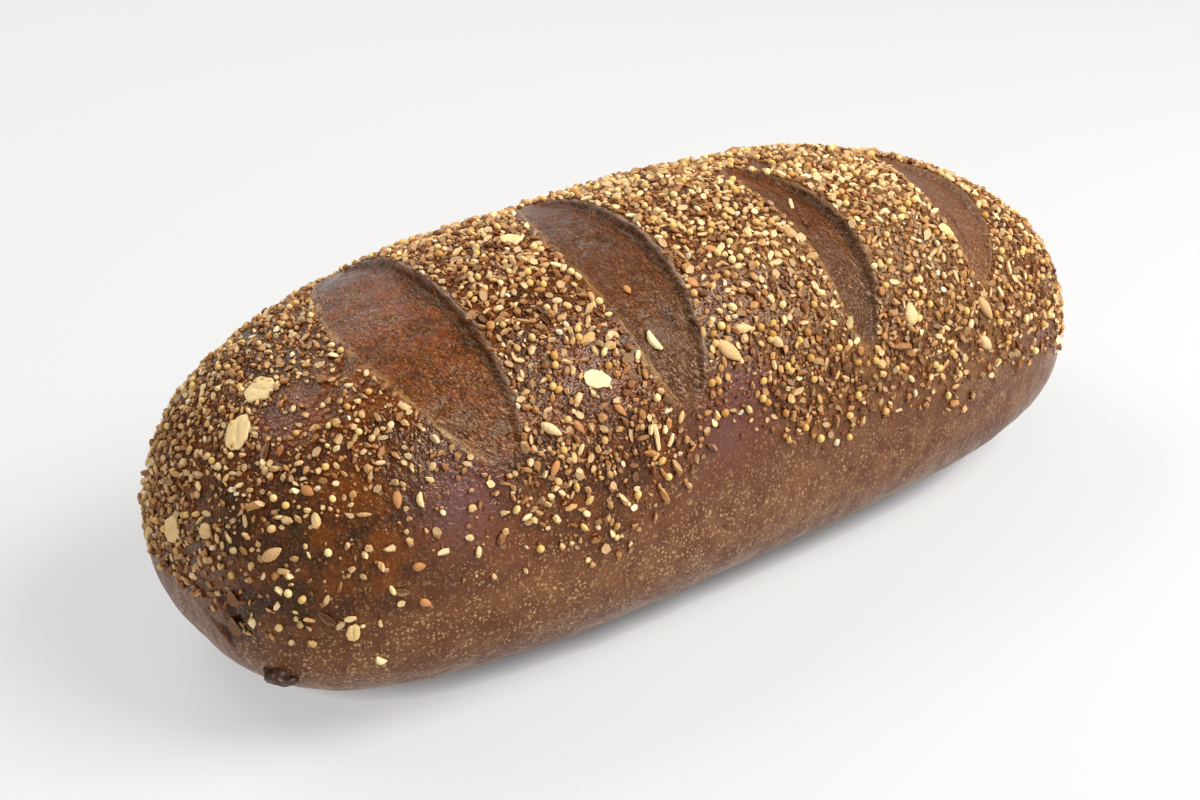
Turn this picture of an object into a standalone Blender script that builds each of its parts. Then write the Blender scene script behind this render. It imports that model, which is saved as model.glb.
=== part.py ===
"""Long seeded pumpernickel loaf, baked free on the hearth.

It is one solid of dark crust, with four opened scores across its crown and the larger seeds of its topping
baked into it. It lies along X on its flat underside, crown up, with the origin under its middle. Metres.
"""

import math
import random

import bmesh
import bpy
from mathutils import Matrix, Vector

# The dough without its seeds
LENGTH = 0.2975
WIDTH = 0.124
HEIGHT = 0.1012
BELLY = 0.0335  # height of the widest line over the hearth
SETTLED = 0.0030  # depth of the round underside that is pressed flat
BOW = 0.0021  # both ends lean this far to the front
FAR_END_LOWER = 0.038  # share by which the crown is lower at the far end

# How full the section is above and below the belly: 2 is an ellipse, more is squarer
CROWN_FULLNESS = 2.27
BASE_FULLNESS = 2.52

# How blunt the ends are, seen from above, over the crown and under the base
SIDE_BLUNTNESS = 3.40
CROWN_BLUNTNESS = 2.68
BASE_BLUNTNESS = 3.27

# The skin's low waves, and how far it is drawn in beside each score
WAVE = 0.006
WAIST = 0.018
WAIST_LENGTH = 0.017

# The four scores. Stations are metres along X, and angles are degrees from the crown towards the front.
SCORES = [
    {"far": (-0.0775, -38), "near": (-0.0825, 58), "middle": -0.0880, "width": 0.0305, "depth": 0.0034},
    {"far": (-0.0190, -26), "near": (-0.0260, 61), "middle": -0.0245, "width": 0.0260, "depth": 0.0032},
    {"far": (0.0385, -8), "near": (0.0375, 62), "middle": 0.0420, "width": 0.0180, "depth": 0.0031},
    {"far": (0.1015, -8), "near": (0.0895, 56), "middle": 0.0990, "width": 0.0205, "depth": 0.0025},
]
LENS_FULLNESS = 0.45  # power of a score's lens: less has fuller shoulders
SHALLOW_EDGE = 0.0006  # step down at a score's gentle edge
EAR_SLANT = 0.0018  # how far the wall under an ear leans back over its depth
TIP_WIDTH = 0.0012

# The core's mesh
RINGS = 46
SEGMENTS = 36

# The topping: how far down the sides it lies, in degrees from the crown
FRONT_EDGE = 75
BACK_EDGE = -74
BAY_STATION = -0.010
BAY_LENGTH = 0.020
BAY_DEPTH = 15
SEED_COUNT = 168
SEED_SPACING = 0.0092
SEED_SUNK = 0.42  # share of a seed's thickness that is under the skin

# Length, width and thickness of each kind of seed
SEED_SIZES = {
    "oat": (0.0090, 0.0068, 0.0020),
    "kernel": (0.0106, 0.0052, 0.0034),
    "sliver": (0.0072, 0.0022, 0.0020),
    "flax": (0.0052, 0.0030, 0.0020),
    "grit": (0.0040, 0.0033, 0.0030),
}
SCATTERED = ["grit"] * 6 + ["flax"] * 3 + ["sliver"]

# The largest seeds where they lie: kind, station in metres, angle and turn in degrees
PLACED_SEEDS = [
    ("oat", -0.1237, 3, -71),
    ("oat", -0.1331, 10, -134),
    ("oat", -0.0518, 47, -32),
    ("oat", -0.0431, -2, -38),
    ("oat", -0.1480, -24, 142),
    ("kernel", -0.0102, 52, -52),
    ("kernel", -0.0690, 54, -44),
    ("kernel", -0.1396, 58, 9),
    ("kernel", 0.0555, 57, 77),
    ("kernel", 0.0862, 63, -63),
    ("kernel", 0.0837, 71, -49),
    ("kernel", 0.0290, 29, -35),
    ("sliver", -0.0399, 63, -93),
    ("oat", 0.0620, -48, 80),
    ("oat", -0.0120, -40, 30),
    ("kernel", -0.0780, -44, 20),
    ("kernel", 0.0200, -52, -30),
]

# The bead of syrup that has boiled out low on the near end
BEAD_SIZE = (0.0078, 0.0066, 0.0056)
BEAD_STATION = -0.1408
BEAD_ANGLE = 122


def waves(station, angle):
    """The skin's low unevenness, about -1 to 1."""
    along = math.sin(5.3 * station + 1.9 * math.sin(angle) + 0.6)
    across = math.sin(9.1 * station - 2.0 * math.cos(angle + 0.8) + 2.1)
    return 0.6 * along + 0.4 * across


def waist(station, angle):
    """How far the skin is drawn in by the scores, 0 to about 1: most at the crown, nothing at the belly."""
    x = station * LENGTH / 2
    beside = sum(math.exp(-(((x - score["middle"]) / WAIST_LENGTH) ** 2)) for score in SCORES)
    return beside * max(0.0, math.cos(angle - math.radians(14))) ** 2


def section_reach(angle):
    """Distance from the section's centre to its outline, in half widths and half heights."""
    fullness = CROWN_FULLNESS if math.cos(angle) >= 0 else BASE_FULLNESS
    return (abs(math.sin(angle)) ** fullness + abs(math.cos(angle)) ** fullness) ** (-1 / fullness)


def bluntness(angle):
    """How blunt the ends are in the plane at that angle round the loaf."""
    over = CROWN_BLUNTNESS if math.cos(angle) >= 0 else BASE_BLUNTNESS
    return SIDE_BLUNTNESS + math.cos(angle) ** 2 * (over - SIDE_BLUNTNESS)


def skin_point(station, angle):
    """A point of the skin, by its station from -1 to 1 along the loaf and its angle from the crown."""
    power = bluntness(angle)
    reach = section_reach(angle) * max(0.0, 1 - abs(station) ** power) ** (1 / power)
    reach *= 1 + WAVE * waves(station, angle) - WAIST * waist(station, angle)
    half_height = HEIGHT - BELLY if math.cos(angle) >= 0 else BELLY + SETTLED
    half_height *= 1 - FAR_END_LOWER * station * max(0.0, math.cos(angle))
    return Vector(
        (
            LENGTH / 2 * station,
            -WIDTH / 2 * reach * math.sin(angle) - BOW * station**2,
            BELLY + half_height * reach * math.cos(angle),
        )
    )


def skin_normal(station, angle):
    """The outward direction of the skin at that place."""
    step = 0.004
    along = skin_point(station + step, angle) - skin_point(station - step, angle)
    around = skin_point(station, angle + step) - skin_point(station, angle - step)
    return along.cross(around).normalized() * -1


def station_towards(direction):
    """The station and angle where the skin lies in a direction from the loaf's middle."""
    angle = math.atan2(-direction.y, direction.z)
    power = bluntness(angle)
    sideways = math.hypot(direction.y, direction.z) / section_reach(angle)
    return direction.x * (sideways**power + abs(direction.x) ** power) ** (-1 / power), angle


def score_centre(score, share):
    """X of a score's middle line, from its far tip at share 0 to its near tip at share 1."""
    far, near = score["far"][0], score["near"][0]
    bow = score["middle"] - (far + near) / 2
    return far + (near - far) * share + 4 * bow * share * (1 - share)


def score_half_width(score, share):
    """Half the width of a score's opening, which is a lens with full shoulders."""
    lens = math.sin(math.pi * min(1.0, max(0.0, share))) ** LENS_FULLNESS
    return max(TIP_WIDTH, score["width"] * lens) / 2


def score_share(score, angle):
    """How far along a score an angle lies, from its far tip at 0 to its near tip at 1."""
    far, near = (math.radians(score[end][1]) for end in ("far", "near"))
    return (angle - far) / (near - far)


def in_score(x, angle, margin):
    """Whether a place on the skin lies in a score or within a margin of it."""
    for score in SCORES:
        share = score_share(score, angle)
        beside = abs(x - score_centre(score, share)) - score_half_width(score, share)
        if -0.04 < share < 1.04 and beside < margin:
            return True
    return False


def topping_edge(station):
    """The angles where the topping ends on the front and on the back of the loaf, in radians."""
    x = station * LENGTH / 2
    spread = 22 * abs(station) ** 8
    bay = BAY_DEPTH * math.exp(-(((x - BAY_STATION) / BAY_LENGTH) ** 2))
    front = FRONT_EDGE + 3 * math.sin(14 * station + 1) + spread - bay
    back = BACK_EDGE - 4 * math.sin(11 * station + 2) - spread
    return math.radians(front), math.radians(back)


def new_object(name, bm):
    """An object in the scene with the mesh that a bmesh holds."""
    mesh = bpy.data.meshes.new(name)
    bm.to_mesh(mesh)
    bm.free()
    made = bpy.data.objects.new(name, mesh)
    bpy.context.scene.collection.objects.link(made)
    return made


def make_crust_material():
    material = bpy.data.materials.new("dark_crust")
    material.use_nodes = True
    shader = material.node_tree.nodes["Principled BSDF"]
    shader.inputs["Base Color"].default_value = (0.085, 0.034, 0.018, 1)
    shader.inputs["Roughness"].default_value = 0.42
    shader.inputs["Metallic"].default_value = 0.0
    return material


def make_core():
    """The plain dough: a ball stretched to the loaf's form, and cut off flat where it sat on the hearth."""
    bm = bmesh.new()
    bmesh.ops.create_uvsphere(bm, u_segments=SEGMENTS, v_segments=RINGS, radius=1)
    bmesh.ops.rotate(bm, verts=bm.verts, matrix=Matrix.Rotation(math.radians(90), 3, "Y"))
    for vert in bm.verts:
        vert.co = skin_point(*station_towards(vert.co.normalized()))
    everything = bm.verts[:] + bm.edges[:] + bm.faces[:]
    bmesh.ops.bisect_plane(bm, geom=everything, plane_co=(0, 0, 0), plane_no=(0, 0, -1), clear_outer=True)
    rim = [edge for edge in bm.edges if edge.is_boundary]
    bmesh.ops.edgeloop_fill(bm, edges=rim)
    bmesh.ops.recalc_face_normals(bm, faces=bm.faces)
    return new_object("loaf", bm)


def make_score_cutter(score, number):
    """The space of one opened score: a lens, shallow at its near edge and deep below the ear."""
    columns, rows, height = 8, 16, 0.009
    bm = bmesh.new()
    bmesh.ops.create_grid(bm, x_segments=columns, y_segments=rows, size=1)
    bmesh.ops.triangulate(bm, faces=bm.faces)
    places = {vert: (vert.co.x, (vert.co.y + 1) / 2) for vert in bm.verts}
    top = bmesh.ops.extrude_face_region(bm, geom=bm.faces[:], use_keep_orig=True)
    raised = {item: item.co.copy() for item in top["geom"] if isinstance(item, bmesh.types.BMVert)}
    for vert, co in raised.items():
        places[vert] = (co.x, (co.y + 1) / 2)
    far, near = (math.radians(score[end][1]) for end in ("far", "near"))
    for vert, (across, share) in places.items():
        angle = far + (near - far) * share
        half_width = score_half_width(score, share)
        lean = 0 if vert in raised else EAR_SLANT * max(0.0, across) ** 3 * half_width / score["width"] * 2
        station = (score_centre(score, share) + across * half_width - lean) / (LENGTH / 2)
        slope = 0.25 * (across + 1) / 2 + 0.75 * ((across + 1) / 2) ** 3.5
        sunk = SHALLOW_EDGE + (score["depth"] - SHALLOW_EDGE) * slope * math.sin(math.pi * share) ** 0.6
        offset = height if vert in raised else -sunk
        vert.co = skin_point(station, angle) + skin_normal(station, angle) * offset
    bmesh.ops.recalc_face_normals(bm, faces=bm.faces)
    if bm.calc_volume(signed=True) < 0:
        bmesh.ops.reverse_faces(bm, faces=bm.faces)
    cutter = new_object(f"score_cutter_{number}", bm)
    cutter.hide_render = True
    cutter.display_type = "WIRE"
    return cutter


def make_seed(kind, station, angle, turn, draw, name):
    """One seed of few faces, half sunk in the skin and turned about the skin's outward direction."""
    size = Vector(SEED_SIZES[kind]) * draw.uniform(0.88, 1.12)
    bm = bmesh.new()
    bmesh.ops.create_icosphere(bm, subdivisions=1, radius=0.5)
    for vert in bm.verts:
        if kind == "grit":
            vert.co *= draw.uniform(0.8, 1.2)
        if kind == "kernel":
            vert.co.y *= 1 - 0.7 * vert.co.x
    bmesh.ops.scale(bm, verts=bm.verts, vec=size)
    normal = skin_normal(station, angle)
    forward = (Vector((1, 0, 0)) - normal * normal.x).normalized()
    facing = Matrix((forward, normal.cross(forward), normal)).transposed() @ Matrix.Rotation(turn, 3, "Z")
    centre = skin_point(station, angle) + normal * size.z * (0.5 - SEED_SUNK)
    bmesh.ops.transform(bm, verts=bm.verts, matrix=Matrix.Translation(centre) @ facing.to_4x4())
    return new_object(name, bm)


def scattered_places(draw, taken):
    """Places for the other seeds, spread over the topping and clear of the scores and of each other."""
    places = []
    while len(places) < SEED_COUNT:
        direction = Vector((draw.gauss(0, 1), draw.gauss(0, 1), draw.gauss(0, 1))).normalized()
        stretched = Vector((direction.x * LENGTH / WIDTH, direction.y, direction.z)).normalized()
        station, angle = station_towards(stretched)
        front, back = topping_edge(station)
        if not back < angle < front or in_score(station * LENGTH / 2, angle, 0.002):
            continue
        point = skin_point(station, angle)
        if min((point - other).length for other in taken) > SEED_SPACING:
            taken.append(point)
            places.append((station, angle))
    return places


def make_seeds():
    """A collection of all the seeds and the bead of syrup, ready to be joined to the crust."""
    draw = random.Random(7)
    seeds = []
    for number, (kind, x, angle, turn) in enumerate(PLACED_SEEDS):
        where = (2 * x / LENGTH, math.radians(angle))
        seeds.append(make_seed(kind, *where, math.radians(turn), draw, f"placed_seed_{number}"))
    taken = [skin_point(2 * x / LENGTH, math.radians(angle)) for _, x, angle, _ in PLACED_SEEDS]
    for number, (station, angle) in enumerate(scattered_places(draw, taken)):
        kind = draw.choice(SCATTERED)
        turn = draw.uniform(0, math.pi)
        seeds.append(make_seed(kind, station, angle, turn, draw, f"seed_{number}"))
    seeds.append(make_bead())
    topping = bpy.data.collections.new("topping")
    bpy.context.scene.collection.children.link(topping)
    for seed in seeds:
        topping.objects.link(seed)
        bpy.context.scene.collection.objects.unlink(seed)
    return topping


def make_bead():
    """The bead of syrup that stands out low on the near end."""
    station, angle = 2 * BEAD_STATION / LENGTH, math.radians(BEAD_ANGLE)
    bm = bmesh.new()
    bmesh.ops.create_icosphere(bm, subdivisions=2, radius=0.5)
    bmesh.ops.scale(bm, verts=bm.verts, vec=BEAD_SIZE)
    centre = skin_point(station, angle) + skin_normal(station, angle) * 0.001
    bmesh.ops.translate(bm, verts=bm.verts, vec=centre)
    return new_object("syrup_bead", bm)


def apply_boolean(target, operation, collection):
    """Cuts a collection's solids out of the target, or joins them to it, and removes them."""
    boolean = target.modifiers.new(operation.lower(), "BOOLEAN")
    boolean.operation = operation
    boolean.operand_type = "COLLECTION"
    boolean.collection = collection
    boolean.solver = "EXACT"
    bpy.context.view_layer.objects.active = target
    bpy.ops.object.modifier_apply(modifier=boolean.name)
    for used in list(collection.objects):
        bpy.data.objects.remove(used)
    bpy.data.collections.remove(collection)


def main():
    for old in list(bpy.data.objects):
        bpy.data.objects.remove(old)
    loaf = make_core()
    scores = bpy.data.collections.new("scores")
    bpy.context.scene.collection.children.link(scores)
    for number, score in enumerate(SCORES):
        cutter = make_score_cutter(score, number)
        scores.objects.link(cutter)
        bpy.context.scene.collection.objects.unlink(cutter)
    apply_boolean(loaf, "DIFFERENCE", scores)
    apply_boolean(loaf, "UNION", make_seeds())
    loaf.data.materials.clear()
    loaf.data.materials.append(make_crust_material())
    loaf.data.shade_smooth()
    loaf.data.set_sharp_from_angle(angle=math.radians(35))


main()
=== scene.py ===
import math
import random

import bmesh
import bpy
from mathutils import Matrix, Vector, noise


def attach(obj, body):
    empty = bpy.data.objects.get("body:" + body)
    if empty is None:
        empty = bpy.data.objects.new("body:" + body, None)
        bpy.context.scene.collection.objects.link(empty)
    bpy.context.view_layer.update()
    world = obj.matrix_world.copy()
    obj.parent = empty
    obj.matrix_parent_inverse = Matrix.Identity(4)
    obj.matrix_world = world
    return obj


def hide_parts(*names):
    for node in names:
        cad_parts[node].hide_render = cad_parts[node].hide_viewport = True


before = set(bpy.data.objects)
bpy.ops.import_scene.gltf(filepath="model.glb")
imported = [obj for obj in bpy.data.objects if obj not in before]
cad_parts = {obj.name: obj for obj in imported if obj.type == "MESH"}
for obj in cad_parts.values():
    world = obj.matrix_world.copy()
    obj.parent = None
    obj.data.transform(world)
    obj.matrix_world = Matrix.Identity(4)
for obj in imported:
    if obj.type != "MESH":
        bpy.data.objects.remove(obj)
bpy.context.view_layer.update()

# The loaf: dark rye dough, brushed with syrup and baked free on the hearth, so its crown and ends are
# round, its sides roll under to a flat spot, and four slanting scores have opened across its crown. Each
# score is a smooth new floor that rises flush to its near edge and runs down under an ear at its far edge.
LENGTH = 0.2975
WIDTH = 0.124
HEIGHT = 0.1012
BELLY = 0.0335
SETTLED = 0.0030
BOW = 0.0021
FAR_END_LOWER = 0.038
CROWN_FULLNESS = 2.27
BASE_FULLNESS = 2.52
SIDE_BLUNTNESS = 3.40
CROWN_BLUNTNESS = 2.68
BASE_BLUNTNESS = 3.27
WAVE = 0.006
WAIST = 0.018
WAIST_LENGTH = 0.017

# Stations are metres along X, and angles are degrees from the crown towards the front
SCORES = [
    {"far": (-0.0775, -38), "near": (-0.0825, 58), "middle": -0.0880, "width": 0.0305, "depth": 0.0034},
    {"far": (-0.0190, -26), "near": (-0.0260, 61), "middle": -0.0245, "width": 0.0260, "depth": 0.0032},
    {"far": (0.0385, -8), "near": (0.0375, 62), "middle": 0.0420, "width": 0.0180, "depth": 0.0031},
    {"far": (0.1015, -8), "near": (0.0895, 56), "middle": 0.0990, "width": 0.0205, "depth": 0.0025},
]
SCORE_LENGTH = 0.105
LENS_FULLNESS = 0.45
# How orange each score's floor is at its far tip, its middle and its near tip
WARMTHS = [(0.3, 1.0, 0.7), (0.45, 0.40, 0.20), (1.0, 0.45, 0.1), (0.0, 0.1, 0.35)]
# How grey each ear is, and how dark the painted shade line under it
LIPS = [(0.75, 0.35), (0.75, 0.4), (0.3, 0.9), (0.3, 0.5)]
TIP_WIDTH = 0.06
TIP_FADE = 0.05
NEAR_STEP = 0.0005
NEAR_STEP_WIDTH = 0.0010
EAR_WALL = 0.0021
EAR_OVERHANG = 0.0003
EAR_LIFT = 0.0004
EAR_REACH = 0.0030
SEAM_WIDTH = 0.0011
SEAM_SHIFT = 0.0002
EAR_LINE = 0.0004
EAR_SHADE = 0.0009
PIT_DEPTH = 0.0012
CRACK_STATION = -0.1474
CRACK_WIDTH = 0.0005
CRACK_ENDS = (66, 122)

CRUST_RINGS = 396
CRUST_SEGMENTS = 240
OUTLINE_HALF_WIDTH = 0.056
TOP_BIAS = 0.36
TOP_CENTRE = math.radians(22)
# Where the mesh's rings crowd at an ear: from and to, beside the even rings and beside the ear's edge
CROWD_FROM = 0.0055
CROWD_TO = 0.0030
EDGE_FROM = 0.0026
EDGE_TO = 0.0014

FLANK_BROWN = (90, 45, 26)
FOOT_BROWN = (116, 74, 42)
TAN_SPECK = (178, 144, 100)
MAUVE_PAINTED_SHEEN = (106, 66, 64)
BURNT_CROWN = (54, 25, 7)
RUST_GLAZE = (106, 52, 9)
DUSTED_BROWN = (94, 58, 32)
DUSTED_GOLD = (128, 90, 52)
OPENED_BROWN = (116, 48, 1)
OPENED_DARK = (64, 25, 3)
DULL_BROWN = (76, 42, 20)
FAR_BROWN = (122, 80, 56)
DULL_DARK = (44, 21, 10)
GOLDEN_FLECK = (198, 138, 62)
PAINTED_GLINT_TAN = (198, 158, 128)
EAR_BROWN = (164, 136, 116)
SEAM_TAN = (160, 120, 72)
PIT_AND_PAINTED_SHADE_DARK = (38, 20, 12)

# Where the glaze is glossy and a mauve sheen is painted on it, where the skin is bare of grains, and
# where it is pierced or torn: station in metres, angle, reach in metres, and how strongly
GLOSSY_AND_PAINTED_SHEEN_PATCHES = [
    (-0.097, 62, 0.011, 1.0),
    (-0.008, 59, 0.008, 0.8),
    (-0.018, 68, 0.010, 0.6),
    (-0.082, -14, 0.009, 0.9),
    (-0.124, 19, 0.008, 0.6),
    (-0.052, 44, 0.013, 0.55),
    (-0.006, 38, 0.009, 0.5),
    (0.047, -12, 0.008, 0.8),
]
BARE_PATCHES = [
    (-0.126, 19, 0.0075, 0.9),
    (-0.117, 17, 0.006, 0.8),
    (-0.144, 15, 0.006, 0.9),
    (-0.052, 44, 0.014, 0.5),
    (-0.006, 38, 0.010, 0.6),
    (0.0445, -26, 0.005, 1.0),
    (0.0475, -16, 0.006, 1.0),
    (0.0490, -6, 0.005, 1.0),
    (0.034, -3, 0.0035, 0.9),
    (-0.098, 62, 0.009, 0.7),
    (-0.011, 58, 0.009, 0.8),
    (-0.135, 42, 0.005, 0.5),
]
PIT_PATCHES = [
    (-0.0944, 28.3, 0.0010, 0.8),
    (-0.0942, 30.2, 0.0010, 0.8),
    (-0.0764, 24.4, 0.0009, 0.9),
    (-0.0772, 26.5, 0.0010, 0.9),
    (-0.0203, 7.0, 0.0013, 1.0),
    (-0.0205, 9.5, 0.0014, 1.0),
    (-0.0214, 37.4, 0.0012, 1.0),
    (-0.0216, 39.4, 0.0013, 1.0),
    (-0.0218, 41.6, 0.0010, 0.9),
    (-0.0228, 56.1, 0.0010, 1.0),
    (-0.0881, 63.6, 0.0012, 0.9),
    (0.0385, 26, 0.0012, 1.0),
    (0.0930, 34.2, 0.0009, 0.9),
    (0.0926, 36.4, 0.0008, 0.9),
    (0.0925, 38.6, 0.0009, 1.0),
    (0.0922, 41.0, 0.0009, 0.9),
    (0.0918, 43.4, 0.0008, 0.8),
    (0.0030, 84, 0.0009, 0.7),
    (0.0270, 90, 0.0008, 0.7),
    (0.0610, 95, 0.0009, 0.6),
    (-0.0200, 92, 0.0008, 0.6),
]


def smooth_step(value):
    value = min(1.0, max(0.0, value))
    return value * value * (3 - 2 * value)


def waves(station, angle):
    along = math.sin(5.3 * station + 1.9 * math.sin(angle) + 0.6)
    across = math.sin(9.1 * station - 2.0 * math.cos(angle + 0.8) + 2.1)
    return 0.6 * along + 0.4 * across


def waist(station, angle):
    x = station * LENGTH / 2
    beside = sum(math.exp(-(((x - score["middle"]) / WAIST_LENGTH) ** 2)) for score in SCORES)
    return beside * max(0.0, math.cos(angle - math.radians(14))) ** 2


def section_reach(angle):
    fullness = CROWN_FULLNESS if math.cos(angle) >= 0 else BASE_FULLNESS
    return (abs(math.sin(angle)) ** fullness + abs(math.cos(angle)) ** fullness) ** (-1 / fullness)


def bluntness(angle):
    over = CROWN_BLUNTNESS if math.cos(angle) >= 0 else BASE_BLUNTNESS
    return SIDE_BLUNTNESS + math.cos(angle) ** 2 * (over - SIDE_BLUNTNESS)


def skin_point(x, angle):
    """The dough's skin before it was scored, at a station along the loaf and an angle round it."""
    station = max(-1.0, min(1.0, 2 * x / LENGTH))
    power = bluntness(angle)
    reach = section_reach(angle) * max(0.0, 1 - abs(station) ** power) ** (1 / power)
    reach *= 1 + WAVE * waves(station, angle) - WAIST * waist(station, angle)
    half_height = HEIGHT - BELLY if math.cos(angle) >= 0 else BELLY + SETTLED
    half_height *= 1 - FAR_END_LOWER * station * max(0.0, math.cos(angle))
    return Vector(
        (
            LENGTH / 2 * station,
            -WIDTH / 2 * reach * math.sin(angle) - BOW * station**2,
            BELLY + half_height * reach * math.cos(angle),
        )
    )


def skin_normal(x, angle):
    step = 0.0006
    along = skin_point(x + step, angle) - skin_point(x - step, angle)
    around = skin_point(x, angle + 8 * step) - skin_point(x, angle - 8 * step)
    normal = around.cross(along)
    return normal.normalized() if normal.length > 1e-12 else Vector((math.copysign(1, x), 0, 0))


def score_share(score, angle):
    """How far along a score an angle lies, from its far tip at 0 to its near tip at 1."""
    far, near = (math.radians(score[end][1]) for end in ("far", "near"))
    return (angle - far) / (near - far)


def score_edges(score, share):
    """X of a score's near and far edge. Past its tips the two part again, for the mesh's rings alone."""
    inside = min(1.0, max(0.0, share))
    far, near = score["far"][0], score["near"][0]
    bow = score["middle"] - (far + near) / 2
    centre = far + (near - far) * inside + 4 * bow * inside * (1 - inside)
    lens = math.sin(math.pi * inside) ** LENS_FULLNESS
    beyond = smooth_step(abs(share - inside) / 0.8)
    half = score["width"] / 2 * max(lens, TIP_WIDTH + (1 - TIP_WIDTH) * beyond)
    centre += (score["middle"] - centre) * beyond
    return centre - half, centre + half


def profile_stations(count):
    """X at even distances along the loaf's outline as seen from above."""
    outline = []
    for step in range(20 * count + 1):
        turn = math.pi * step / (20 * count)
        reach = (abs(math.cos(turn)) ** 3 + math.sin(turn) ** 3) ** (-1 / 3)
        outline.append((-LENGTH / 2 * reach * math.cos(turn), OUTLINE_HALF_WIDTH * reach * math.sin(turn)))
    travelled = [0.0]
    for start, end in zip(outline, outline[1:]):
        travelled.append(travelled[-1] + math.dist(start, end))
    stations = []
    step = 0
    for number in range(count + 1):
        while step < len(outline) - 1 and travelled[step] < travelled[-1] * number / count:
            step += 1
        stations.append(outline[step][0])
    return stations


PROFILE = profile_stations(CRUST_RINGS)


def even_station(ring):
    """X of a ring, from 0 at the near end to 1 at the far, with the rings even along the surface."""
    place = ring * (len(PROFILE) - 1)
    step = min(len(PROFILE) - 2, int(place))
    return PROFILE[step] + (PROFILE[step + 1] - PROFILE[step]) * (place - step)


def ring_station(ring, angle):
    """X of a ring of the mesh at an angle. Rings run along the scores' edges, and crowd at the ears."""
    even = even_station(ring)
    stops = [(-LENGTH / 2, -LENGTH / 2)]
    for score in SCORES:
        left, right = score_edges(score, score_share(score, angle))
        straight_left = score["middle"] - score["width"] / 2
        straight_right = score["middle"] + score["width"] / 2
        stops.append((straight_left, left))
        stops.append((straight_right - CROWD_FROM, right - min(EDGE_FROM, 0.3 * (right - left))))
        stops.append((straight_right, right))
        stops.append((straight_right + CROWD_TO, right + EDGE_TO))
    stops.append((LENGTH / 2, LENGTH / 2))
    for (start, start_x), (end, end_x) in zip(stops, stops[1:]):
        if even <= end:
            return start_x + (end_x - start_x) * max(0.0, even - start) / (end - start)
    return LENGTH / 2


def nearest_score(x, angle):
    """The score that a place lies in or beside, with its share along it and its edges there."""
    score = min(SCORES, key=lambda one: abs(x - one["middle"]))
    share = score_share(score, angle)
    left, right = score_edges(score, share)
    return score, share, left, right


def crust_look(x, angle):
    """How a place lies to its nearest score: how far sunk and slid, and its share of each look."""
    score, share, left, right = nearest_score(x, angle)
    within = smooth_step(share / TIP_FADE) * smooth_step((1 - share) / TIP_FADE)
    look = {"sunk": 0.0, "slide": 0.0, "opened": 0.0, "ear": 0.0, "seam": 0.0, "shade": 0.0}
    far, middle, near = WARMTHS[SCORES.index(score)]
    warm = far + (middle - far) * smooth_step((share - 0.1) / 0.25)
    warm += (near - middle) * smooth_step((share - 0.6) / 0.3)
    look["flow"] = (x - left, share * SCORE_LENGTH + score["middle"], warm)
    if within <= 0:
        return look
    across = (x - left) / (right - left)
    wall = smooth_step((x - (right - EAR_WALL)) / EAR_WALL)
    body = math.sin(math.pi * min(1.0, max(0.0, share))) ** 0.6
    if 0 < across < 1:
        step = NEAR_STEP * smooth_step((x - left) / NEAR_STEP_WIDTH)
        floor = step + (score["depth"] - NEAR_STEP) * body * (0.25 * across + 0.75 * across**3.5)
        look["sunk"] = floor * within * (1 - wall)
        look["slide"] = EAR_OVERHANG * body * math.sin(math.pi * min(1.0, max(0.0, wall))) * within
        look["opened"] = smooth_step((x - left) / 0.0008) * (1 - smooth_step((wall - 0.75) / 0.25)) * within
    past = abs(x - right)
    if across >= 1:
        look["sunk"] -= EAR_LIFT * body * math.exp(-past / EAR_REACH) * within
    elif wall > 0.6:
        look["sunk"] -= EAR_LIFT * body * smooth_step((wall - 0.6) / 0.4) * within
    on_wall = smooth_step((x - right + 0.5 * EAR_WALL) / 0.0006)
    on_wall *= 1 - smooth_step((x - right - 0.0004) / 0.0008)
    grey, dark = LIPS[SCORES.index(score)]
    look["ear"] = on_wall * within * body * grey
    near_line = math.exp(-(((x - left - SEAM_SHIFT) / SEAM_WIDTH) ** 2)) * within
    foot_line = math.exp(-(((x - right + EAR_WALL) / EAR_LINE) ** 2)) * body * within
    look["seam"] = max(near_line, 0.8 * foot_line * (1 - dark))
    # A painted shade line at the foot of each ear's wall, where the ear's shadow falls
    look["shade"] = dark * math.exp(-(((x - right + EAR_WALL) / EAR_SHADE) ** 2)) * body * within
    return look


def patch_share(start, patches):
    """How far a place lies inside any of some round patches, 0 to 1."""
    share = 0.0
    for centre, reach, strength in patches:
        distance = (start - centre).length
        if distance < 2.5 * reach:
            share = max(share, strength * math.exp(-((distance / reach) ** 2)))
    return share


def on_skin(patches):
    return [(skin_point(x, math.radians(turn)), reach, share) for x, turn, reach, share in patches]


GLOSSY_AND_PAINTED_SHEEN = on_skin(GLOSSY_AND_PAINTED_SHEEN_PATCHES)
BARE = on_skin(BARE_PATCHES)
PIERCED = on_skin(PIT_PATCHES)


def crack_share(x, angle):
    """The upright crack in the near end, where the skin of the shaped loaf met."""
    wander = 0.0006 * math.sin(9 * angle)
    upper, lower = CRACK_ENDS
    degrees = math.degrees(angle)
    length = smooth_step((degrees - upper) / 6) * smooth_step((lower - degrees) / 8)
    return math.exp(-(((x - CRACK_STATION - wander) / CRACK_WIDTH) ** 2)) * length


def crust_relief(place, look, topped):
    """The skin's unevenness: soft lumps, finer ones between the seeds, and stretch marks in the scores."""
    lumps = 0.00034 * noise.noise(place * 70) + 0.00016 * noise.noise(place * 210)
    between = 0.00020 * noise.noise(place * 430) * topped
    across, along, _ = look["flow"]
    marks = noise.noise(Vector((across * 260, along * 420, 3.0)))
    marks += 0.6 * noise.noise(Vector((across * 600, along * 900, 9.0)))
    marks = 0.00024 * marks * look["opened"] * (1 - look["ear"])
    seam = 0.00018 * look["seam"] * (1 + noise.noise(place * 600))
    return lumps + between * (1 - look["opened"]) + marks + seam


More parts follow.
